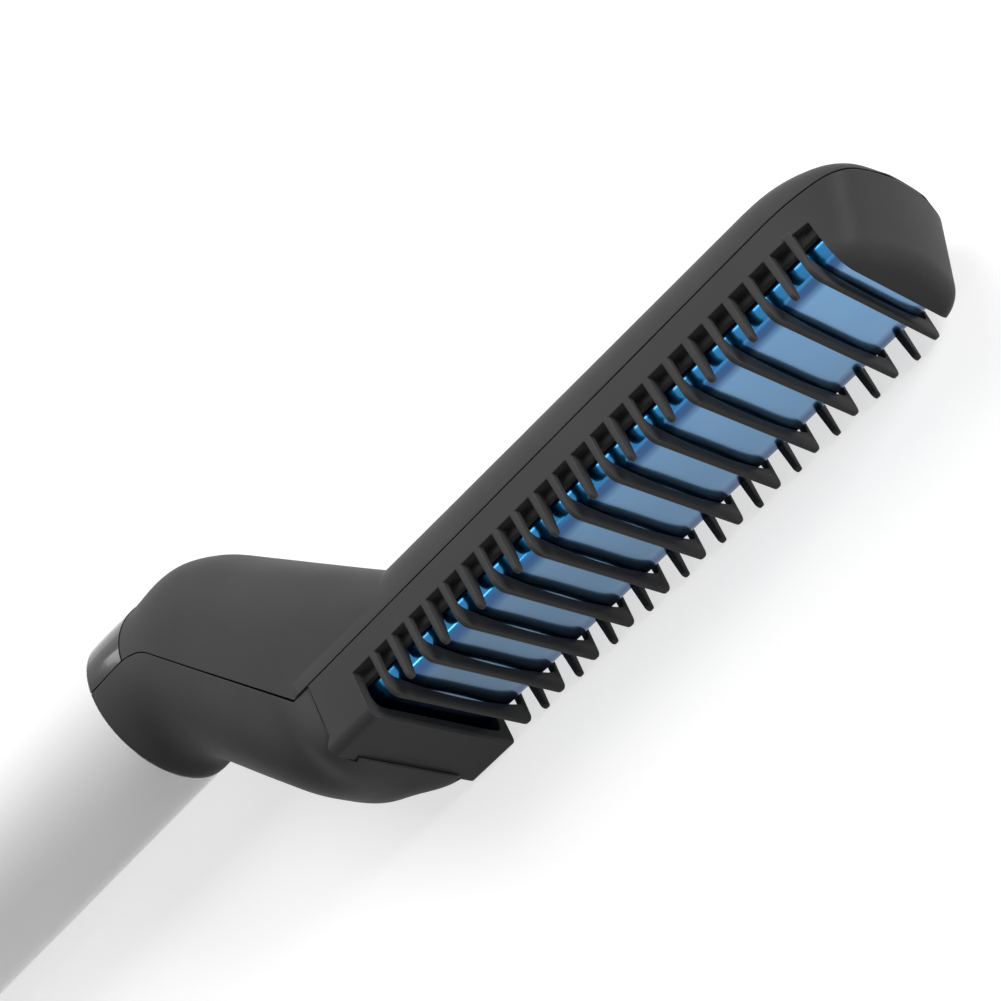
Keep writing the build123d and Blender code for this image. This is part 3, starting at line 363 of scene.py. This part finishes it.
@dataclass(frozen=True)
class SatinPlastic(Finish):
    """Moulded plastic with a fine spark-eroded grain, faint smudges and edges painted paler: partly
    rubbing wear, partly a painted edge highlight.
    """

    shades: Range = (0.82, 1.18)
    unevenness: Range = (-0.07, 0.07)
    relief: float = 0.00002
    relief_share: float = 0.55
    specular: float = 0.04
    grain_per_metre: float = 2600.0
    clouds_per_metre: float = 55.0
    smudges_per_metre: float = 130.0
    smudge_raggedness: float = 0.62
    edge_radius: float = 0.00022
    edge_width_gain: float = 5.0
    # how much paler the edges are: partly wear, partly painted edge highlight
    painted_edge_highlight_gain: float = 1.9
    edge_highlight_and_wear: Range = (0.3, 0.8)

    def paint(self, graph: SurfaceGraph) -> None:
        """Grain in the bump, clouds in the colour, smudges in the roughness and pale edges that are
        partly wear and partly painted highlight.
        """
        rounded = graph.rounded(self.edge_radius)
        grain = graph.noise(self.grain_per_metre, detail=2.0)
        cloud = graph.noise(self.clouds_per_metre, detail=4.0)
        smudge = graph.noise(self.smudges_per_metre, 5.0, self.smudge_raggedness)
        # edge mask broken up by smudges: partly rubbing wear, partly painted edge highlight
        wear_and_edge_highlight = graph.edge_mask(rounded, self.edge_width_gain) * smudge.clamp(*self.edge_highlight_and_wear)
        graph.set(
            base_color=graph.mix(wear_and_edge_highlight, self.mottled(graph, cloud), self.tinted(self.painted_edge_highlight_gain)),
            roughness=self.uneven(smudge),
            normal=self.bent(graph, grain, over=rounded),
            specular_ior_level=self.specular,
            ior=PLASTIC_IOR,
        )


@dataclass(frozen=True)
class PolishedPlastic(Finish):
    """Polished plastic under a clear gloss, with the faint waviness of a moulding."""

    shades: Range = (0.985, 1.015)
    roughness: float = 0.16
    unevenness: Range = (-0.03, 0.04)
    relief: float = 0.00004
    relief_share: float = 0.35
    coat: float = 0.3
    coat_roughness: float = 0.06
    specular: float = 0.5
    waves_per_metre: float = 38.0
    clouds_per_metre: float = 30.0
    scuffs_per_metre: Point = (60.0, 900.0, 900.0)
    edge_radius: float = 0.0002

    def paint(self, graph: SurfaceGraph) -> None:
        """Slow waves in the bump, hairline scuffs in the roughness, faint clouds in the colour."""
        waves = graph.noise(self.waves_per_metre, detail=1.0)
        scuffs = graph.stretched_noise(self.scuffs_per_metre, detail=4.0)
        cloud = graph.noise(self.clouds_per_metre, detail=2.0)
        graph.set(
            base_color=self.mottled(graph, cloud),
            roughness=self.uneven(scuffs),
            coat_weight=self.coat,
            coat_roughness=self.coat_roughness,
            specular_ior_level=self.specular,
            normal=self.bent(graph, waves, over=graph.rounded(self.edge_radius)),
            ior=PLASTIC_IOR,
        )


@dataclass(frozen=True)
class CoatedPlate(Finish):
    """Metal-bright ceramic coat with fine brushing, with a painted dark reflection and then a purer
    blue painted highlight at its edges.

    The bands are distances from the plate's middle line, in metres, over which the painted dark
    reflection colour and the painted highlight colour come in. The colour is darkest at the heel as
    painted shade, and full from the tip's place on.
    """

    # the darkest share, at the heel, is painted shade
    shades: Range = (0.28, 1.05)
    roughness: float = 0.17
    unevenness: Range = (-0.03, 0.03)
    relief: float = 0.000003
    # painted dark reflection: the shade of the teeth mirrored beside the plate's edges, put into
    # the base colour
    painted_dark_reflection: Colour = (0.009, 0.07, 0.2)
    painted_dark_reflection_band: Range = (0.0088, 0.0106)
    # painted highlight: the purer blue where the rounded edge catches the light, put into the base
    # colour
    edge: Colour = (0.01, 0.17, 0.4)
    painted_highlight_band: Range = (0.0116, 0.0126)
    # where the painted shade along the plate starts and ends, in metres along x
    painted_shade_heel_to_tip: Range = (0.16, 0.25)
    cloud_share: float = 0.3
    clouds_per_metre: float = 70.0
    brushing_per_metre: Point = (70.0, 5200.0, 5200.0)
    coat: float = 0.6
    coat_roughness: float = 0.05

    def paint(self, graph: SurfaceGraph) -> None:
        """Brushed lines along the plate, a cloudy coat, painted shade towards the heel, and a
        painted dark reflection and painted highlight at the edges.
        """
        brushed = graph.stretched_noise(self.brushing_per_metre, detail=3.0)
        cloud = graph.noise(self.clouds_per_metre, detail=4.0)
        across = graph.axis("Z").size()
        # painted shade: darker towards the heel, full towards the tip
        along = graph.axis("X").share(*self.painted_shade_heel_to_tip)
        body = self.mottled(graph, (1.0 - self.cloud_share) * along + self.cloud_share * cloud)
        # painted dark reflection near the edges, in the base colour
        with_painted_dark_reflection = graph.mix(across.share(*self.painted_dark_reflection_band), body, self.painted_dark_reflection)
        graph.set(
            # painted highlight at the outermost edge, in the base colour
            base_color=graph.mix(across.share(*self.painted_highlight_band), with_painted_dark_reflection, self.edge),
            metallic=1.0,
            roughness=self.uneven(brushed),
            coat_weight=self.coat,
            coat_roughness=self.coat_roughness,
            normal=self.bent(graph, brushed),
        )


@dataclass(frozen=True)
class BareMetal(Finish):
    """Sheet, wire or turned metal with fine drawing lines and a few dull spots."""

    shades: Range = (0.82, 1.1)
    roughness: float = 0.3
    unevenness: Range = (-0.08, 0.12)
    relief: float = 0.000006
    relief_share: float = 0.5
    lines_per_metre: Point = (90.0, 4200.0, 4200.0)
    spots_per_metre: float = 420.0
    spot_raggedness: float = 0.6

    def paint(self, graph: SurfaceGraph) -> None:
        """Drawing lines in roughness and bump, spots in the colour."""
        lines = graph.stretched_noise(self.lines_per_metre, detail=3.0)
        spots = graph.noise(self.spots_per_metre, 5.0, self.spot_raggedness)
        graph.set(
            base_color=self.mottled(graph, spots),
            metallic=1.0,
            roughness=self.uneven(lines),
            normal=self.bent(graph, lines),
        )


@dataclass(frozen=True)
class BoardMask(Finish):
    """Solder mask over a woven board: a faint weave and traces that show as paler lines."""

    shades: Range = (0.8, 1.0)
    roughness: float = 0.28
    trace: Colour = (0.05, 0.3, 0.13)
    trace_width: float = 0.035
    courses_per_metre: float = 320.0
    weave_per_metre: float = 2400.0
    coat: float = 0.5
    coat_roughness: float = 0.1

    def paint(self, graph: SurfaceGraph) -> None:
        """Brick courses stand in for traces, over a fine weave."""
        darkest, lightest = self.shades
        courses = graph.node(
            "ShaderNodeTexBrick",
            inputs={
                "Vector": graph.coordinates(),
                "Scale": self.courses_per_metre,
                "Mortar Size": self.trace_width,
                "Color1": (*self.tinted(lightest), 1.0),
                "Color2": (*self.tinted(darkest), 1.0),
                "Mortar": (*self.trace, 1.0),
            },
            output="Color",
        )
        weave = graph.noise(self.weave_per_metre, detail=1.0)
        graph.set(
            base_color=courses,
            roughness=self.uneven(weave),
            coat_weight=self.coat,
            coat_roughness=self.coat_roughness,
            normal=self.bent(graph, weave),
        )


@dataclass(frozen=True)
class MilkyPlastic(Finish):
    """Milky light-guide plastic, a little see-through."""

    shades: Range = (0.9, 1.05)
    roughness: float = 0.2
    clouds_per_metre: float = 600.0
    clearness: float = 0.35

    def paint(self, graph: SurfaceGraph) -> None:
        """Cloudy colour and roughness, the same clearness throughout."""
        cloud = graph.noise(self.clouds_per_metre)
        graph.set(
            base_color=self.mottled(graph, cloud),
            roughness=self.uneven(cloud),
            transmission_weight=self.clearness,
        )


@dataclass(frozen=True)
class SoftJacket(Finish):
    """Silicone or film: dull, slightly mottled and dusty."""

    shades: Range = (0.8, 1.15)
    roughness: float = 0.55
    unevenness: Range = (0.0, 0.15)
    relief: float = 0.00002
    relief_share: float = 0.4
    mottles_per_metre: float = 700.0

    def paint(self, graph: SurfaceGraph) -> None:
        """Mottled colour and a fine dusty bump."""
        mottle = graph.noise(self.mottles_per_metre, detail=4.0)
        graph.set(
            base_color=self.mottled(graph, mottle),
            roughness=self.uneven(mottle),
            normal=self.bent(graph, mottle),
        )


class Coat(Enum):
    """The finishes of the comb, one for each kind of piece."""

    SHELL = SatinPlastic("shell_black", (0.05, 0.0495, 0.05))
    # the comb's edges get a stronger painted edge highlight
    COMB = SatinPlastic("comb_black", (0.046, 0.0452, 0.0455), roughness=0.44, painted_edge_highlight_gain=2.6)
    HANDLE = PolishedPlastic("handle_white", (0.8, 0.8, 0.805))
    PANEL = PolishedPlastic(
        "panel_black", (0.012, 0.012, 0.0135), roughness=0.12, coat=0.25, specular=0.25
    )
    BUTTON = SatinPlastic("button_black", (0.035, 0.035, 0.037), roughness=0.35)
    PLATE = CoatedPlate("plate_blue", (0.146, 0.33, 0.565))
    FILM = SoftJacket("film_amber", (0.55, 0.27, 0.04), roughness=0.25)
    CERAMIC = SoftJacket("heater_wrap", (0.55, 0.53, 0.5))
    STEEL = BareMetal("spring_steel", (0.6, 0.6, 0.6))
    ZINC = BareMetal("bracket_zinc", (0.52, 0.53, 0.54), roughness=0.38)
    SCREW = BareMetal(
        "screw_steel", (0.42, 0.42, 0.43), lines_per_metre=(1500.0, 1500.0, 1500.0)
    )
    CAN = BareMetal("fuse_can", (0.7, 0.7, 0.71), roughness=0.25)
    BEAD = PolishedPlastic("bead_glaze", (0.5, 0.2, 0.08))
    BOARD = BoardMask("board_green", (0.02, 0.16, 0.07))
    CHIP = SatinPlastic("component_black", (0.03, 0.03, 0.032), grain_per_metre=5000.0)
    SLEEVE = PolishedPlastic("capacitor_sleeve", (0.03, 0.04, 0.12))
    INNER = SatinPlastic("inner_grey", (0.35, 0.35, 0.36), shades=(0.94, 1.06))
    CLEAR = MilkyPlastic("light_guide", (0.8, 0.78, 0.72))
    BRASS = BareMetal("contact_brass", (0.72, 0.53, 0.25), roughness=0.22)
    WIRE = SoftJacket("wire_red", (0.4, 0.06, 0.05))


# ---------------------------------------------------------------- sub-assemblies
@dataclass
class Assembly:
    """A group of CAD nodes that get finishes, with the pieces that refine some of them."""

    nodes: dict[str, bpy.types.Object]
    coats: dict[str, Coat] = field(default_factory=dict)

    def build(self) -> None:
        """Put each node's finish on it, then make the refined pieces."""
        for name, coat in self.coats.items():
            self.dress(self.nodes[name], coat)
        self.refine()

    @staticmethod
    def dress(piece: bpy.types.Object, coat: Coat) -> None:
        """Give a piece one finish and report it."""
        piece.data.materials.clear()
        piece.data.materials.append(coat.value.material())
        LOG.info("%s: %s", piece.name, coat.value.name)

    def refine(self) -> None:
        """Make the pieces that stand for CAD nodes; most groups have none."""

    def merged_copy(self, node: str) -> bmesh.types.BMesh:
        """Copy a node's mesh as one welded surface, with its flat faces made whole.

        Args:
            node: the CAD node.

        Returns:
            The copy, which the caller shapes further.
        """
        shape = bmesh.new()
        shape.from_mesh(self.nodes[node].data)
        bmesh.ops.remove_doubles(shape, verts=shape.verts, dist=WELD)
        bmesh.ops.dissolve_limit(shape, angle_limit=FLAT, verts=shape.verts, edges=shape.edges)
        return shape

    def stand_in(self, shape: bmesh.types.BMesh, node: str, name: str, slot: str) -> None:
        """Show a shaped copy in place of its node.

        Args:
            shape: the finished shape, which is freed.
            node: the CAD node that it stands for.
            name: the new piece's name.
            slot: not used.
        """
        for edge in shape.edges:
            edge.smooth = edge.calc_face_angle(0.0) < SHARP
        for face in shape.faces:
            face.smooth = True
        mesh = bpy.data.meshes.new(name)
        shape.to_mesh(mesh)
        shape.free()
        piece = bpy.data.objects.new(name, mesh)
        bpy.context.scene.collection.objects.link(piece)
        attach(piece, "housing")
        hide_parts(node)
        self.dress(piece, self.coats[node])


@dataclass
class Head(Assembly):
    """The comb frame, its plate and the heater stack behind it."""

    plate_half_width: float = 13.2 * MM
    plate_face: float = -40.0 * MM
    plate_thickness: float = 1.4 * MM
    plate_crown: float = 1.7 * MM
    crown_half_width: float = 15.4 * MM
    crown_power: float = 5.0
    crown_strips: int = 22
    comb_root: float = -37.2 * MM
    comb_start: float = 162.5 * MM
    comb_end: float = 253.5 * MM
    comb_edge_round: float = 0.18 * MM
    comb_edge_segments: int = 2
    coats: dict[str, Coat] = field(
        default_factory=lambda: {
            "comb_frame": Coat.COMB,
            "heating_plate": Coat.PLATE,
            "insulating_film": Coat.FILM,
            "ptc_heater": Coat.CERAMIC,
            "pressure_spring": Coat.STEEL,
            "heater_bracket": Coat.ZINC,
            "bracket_screws": Coat.SCREW,
            "thermal_fuse": Coat.CAN,
            "thermistor": Coat.BEAD,
            "heater_leads": Coat.WIRE,
        }
    )

    def refine(self) -> None:
        """Crown the plate and soften the comb."""
        self.crown_plate()
        self.soften_comb()

    def crown_plate(self) -> None:
        """Swell the plate's face towards the ribs, highest along its middle."""
        shape = self.merged_copy("heating_plate")
        for strip in range(1, self.crown_strips):
            place = self.plate_half_width * (2 * strip / self.crown_strips - 1)
            bmesh.ops.bisect_plane(
                shape,
                geom=shape.verts[:] + shape.edges[:] + shape.faces[:],
                dist=WELD,
                plane_co=(0.0, 0.0, place),
                plane_no=(0.0, 0.0, 1.0),
            )
        for vert in shape.verts:
            depth = (self.plate_face + self.plate_thickness - vert.co.y) / self.plate_thickness
            reach = min(1.0, abs(vert.co.z) / self.crown_half_width)
            swell = max(0.0, min(1.0, depth)) * (1.0 - reach**self.crown_power)
            vert.co.y -= self.plate_crown * swell
        self.stand_in(shape, "heating_plate", "plate_crowned", "plate_blue")

    def soften_comb(self) -> None:
        """Round the outer edges of the ribs and side teeth, as the mould leaves them."""
        shape = self.merged_copy("comb_frame")
        edges = [edge for edge in shape.edges if self.on_comb_edge(edge)]
        bmesh.ops.bevel(
            shape,
            geom=edges,
            offset=self.comb_edge_round,
            offset_type="OFFSET",
            segments=self.comb_edge_segments,
            profile=0.5,
            affect="EDGES",
            material=-1,
            clamp_overlap=False,
        )
        bmesh.ops.remove_doubles(shape, verts=shape.verts, dist=WELD)
        LOG.info("comb edges rounded: %d", len(edges))
        self.stand_in(shape, "comb_frame", "comb_softened", "shell_plastic")

    def on_comb_edge(self, edge: bmesh.types.BMEdge) -> bool:
        """Whether an edge is a sharp outer one of a rib or a side tooth."""
        middle = (edge.verts[0].co + edge.verts[1].co) / 2
        in_comb = middle.y < self.comb_root and self.comb_start < middle.x < self.comb_end
        return in_comb and edge.is_manifold and edge.is_convex and edge.calc_face_angle() > SHARP


@dataclass
class Shells(Assembly):
    """The back cover and the neck's belly, clamped together inside the handle."""

    coats: dict[str, Coat] = field(
        default_factory=lambda: {
            "back_cover": Coat.SHELL,
            "neck_shell": Coat.SHELL,
            "clamp_screws": Coat.SCREW,
        }
    )


@dataclass
class Handle(Assembly):
    """The white tube, the glossy panel with its button and light, and the board inside."""

    coats: dict[str, Coat] = field(
        default_factory=lambda: {
            "handle_tube": Coat.HANDLE,
            "control_panel": Coat.PANEL,
            "power_button": Coat.BUTTON,
            "key_switch": Coat.CHIP,
            "switch_plunger": Coat.INNER,
            "status_led": Coat.CLEAR,
            "light_pipe": Coat.CLEAR,
            "circuit_board": Coat.BOARD,
            "board_tray": Coat.INNER,
            "board_screws": Coat.SCREW,
            "main_capacitor": Coat.SLEEVE,
            "power_triac": Coat.CHIP,
        }
    )


@dataclass
class Tail(Assembly):
    """The tail cap and the cord's swivel in it."""

    coats: dict[str, Coat] = field(
        default_factory=lambda: {
            "tail_cap": Coat.SHELL,
            "cord_gland": Coat.SHELL,
            "retaining_clip": Coat.STEEL,
            "slip_rings": Coat.BRASS,
            "contact_block": Coat.INNER,
            "contact_brushes": Coat.BRASS,
            "supply_leads": Coat.WIRE,
        }
    )


# ---------------------------------------------------------------- studio
@dataclass(frozen=True)
class SoftBox:
    """A square area lamp: its place and aim in metres, its side in metres and its watts."""

    name: str
    place: Point
    aim: Point
    side: float
    power: float

    def build(self) -> None:
        """Hang the lamp where the camera doesn't see it."""
        data = bpy.data.lights.new(self.name, "AREA")
        data.shape = "SQUARE"
        data.size = self.side
        data.energy = self.power
        lamp = bpy.data.objects.new(self.name, data)
        lamp.location = self.place
        lamp.visible_camera = False
        lamp.rotation_mode = "QUATERNION"
        aim = Vector(self.aim) - Vector(self.place)
        lamp.rotation_quaternion = aim.to_track_quat("-Z", "Y")
        bpy.context.scene.collection.objects.link(lamp)
        LOG.info("%s: %.1f W", self.name, self.power)


@dataclass
class Studio:
    """A pale floor, soft light and the camera that looks along the comb from its teeth's side.

    The floor's shade is one value for the rays that show it and another for the light that it
    sends back. It glows a little where it is seen, and fully far from the comb.
    """

    floor_level: float
    floor_size: float = 6.0
    floor_glow: float = 0.66
    floor_seen: float = 0.45
    floor_lit: float = 0.78
    floor_clear: Range = (0.25, 0.8)
    floor_roughness: float = 0.9
    paper_tooth: Range = (0.98, 1.02)
    teeth_per_metre: float = 900.0
    world_strength: float = 0.14
    lamps: tuple[SoftBox, ...] = (
        SoftBox("key_box", (0.06, 0.6, 0.68), (0.16, -0.02, 0.0), side=0.9, power=9.3),
        SoftBox("fill_box", (0.1, -0.9, 0.25), (0.1, -0.02, 0.0), side=0.5, power=0.45),
        SoftBox("tip_box", (1.05, 0.0, 0.4), (0.16, -0.02, 0.0), side=0.35, power=7.0),
        SoftBox("strip_box", (-0.1, -0.42, 0.36), (0.2, -0.04, 0.0), side=0.1, power=0.22),
    )
    camera_place: Point = (322.53 * MM, -214.68 * MM, 247.33 * MM)
    camera_right: Point = (0.64596, -0.38563, -0.65881)
    camera_down: Point = (-0.65093, -0.72909, -0.21146)
    camera_clip: Range = (0.01, 50.0)
    lens: float = 80.604
    sensor: float = 36.0

    def build(self) -> None:
        """Make the floor, the world, the lamps and the camera."""
        self.make_floor()
        self.make_world()
        for lamp in self.lamps:
            lamp.build()
        self.make_camera()

    @staticmethod
    def background_rays(graph: Graph) -> Link:
        """1 for the rays that show the background: straight to the eye, mirrored or let through."""
        camera, glossy, clear = (
            graph.node("ShaderNodeLightPath", output=f"Is {kind} Ray")
            for kind in ("Camera", "Glossy", "Transmission")
        )
        return (camera + glossy + clear).clamp(0.0, 1.0)

    def make_floor(self) -> None:
        """Lay the floor under the comb."""
        mesh = bpy.data.meshes.new("floor")
        shape = bmesh.new()
        bmesh.ops.create_grid(shape, x_segments=1, y_segments=1, size=self.floor_size / 2)
        bmesh.ops.translate(shape, verts=shape.verts, vec=(0.0, 0.0, self.floor_level))
        shape.to_mesh(mesh)
        shape.free()
        floor = bpy.data.objects.new("floor", mesh)
        bpy.context.scene.collection.objects.link(floor)
        mesh.materials.append(self.floor_paper())
        floor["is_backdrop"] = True
        LOG.info("floor at %.4f m", self.floor_level)

    def floor_paper(self) -> bpy.types.Material:
        """Pale paper that is seen as white, with the comb's shadow on it."""
        graph = SurfaceGraph("floor_paper")
        tooth = graph.noise(self.teeth_per_metre).between(*self.paper_tooth)
        seen = self.background_rays(graph)
        away = graph.node(
            "ShaderNodeVectorMath", {"operation": "LENGTH"}, {0: graph.coordinates()}, "Value"
        ).share(*self.floor_clear)
        shade = tooth * seen.between(self.floor_lit, self.floor_seen)
        glow = seen * away.between(self.floor_glow, 1.0)
        graph.set(
            base_color=graph.mix(shade, BLACK, WHITE),
            roughness=self.floor_roughness,
            specular_ior_level=0.0,
            emission_color=graph.mix(glow, BLACK, WHITE),
            emission_strength=1.0,
        )
        return graph.material

    def make_world(self) -> None:
        """Surround that is white where it is seen or mirrored, and lights the comb dimly."""
        world = bpy.data.worlds.new("studio")
        bpy.context.scene.world = world
        graph = Graph(world, "ShaderNodeOutputWorld")
        lit, seen = (
            graph.node(
                "ShaderNodeBackground", inputs={"Color": (*WHITE, 1.0), "Strength": strength}
            )
            for strength in (self.world_strength, 1.0)
        )
        shown = self.background_rays(graph)
        graph.show(graph.node("ShaderNodeMixShader", inputs={0: shown, 1: lit, 2: seen}))

    def make_camera(self) -> None:
        """Set up the camera, from its place and two of its axes."""
        data = bpy.data.cameras.new("camera")
        data.lens = self.lens
        data.sensor_width = self.sensor
        data.clip_start, data.clip_end = self.camera_clip
        camera = bpy.data.objects.new("camera", data)
        right = Vector(self.camera_right).normalized()
        up = -Vector(self.camera_down).normalized()
        back = right.cross(up).normalized()
        turn = Matrix((right, up, back)).transposed()
        camera.matrix_world = Matrix.Translation(Vector(self.camera_place)) @ turn.to_4x4()
        bpy.context.scene.collection.objects.link(camera)
        bpy.context.scene.camera = camera


def corners(pair: tuple[Vector, Vector]) -> list[list[float]]:
    """A pair of corners as plain lists."""
    return [list(corner) for corner in pair]


def main() -> None:
    logging.basicConfig(level=logging.INFO, format="%(name)s %(message)s")
    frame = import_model()
    cad_box = corners(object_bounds())
    bpy.context.scene.view_settings.view_transform = "Standard"
    Studio(floor_level=cad_box[0][2]).build()
    for assembly in (Head, Shells, Handle, Tail):
        assembly(frame["nodes"]).build()


if __name__ == "__main__":
    main()
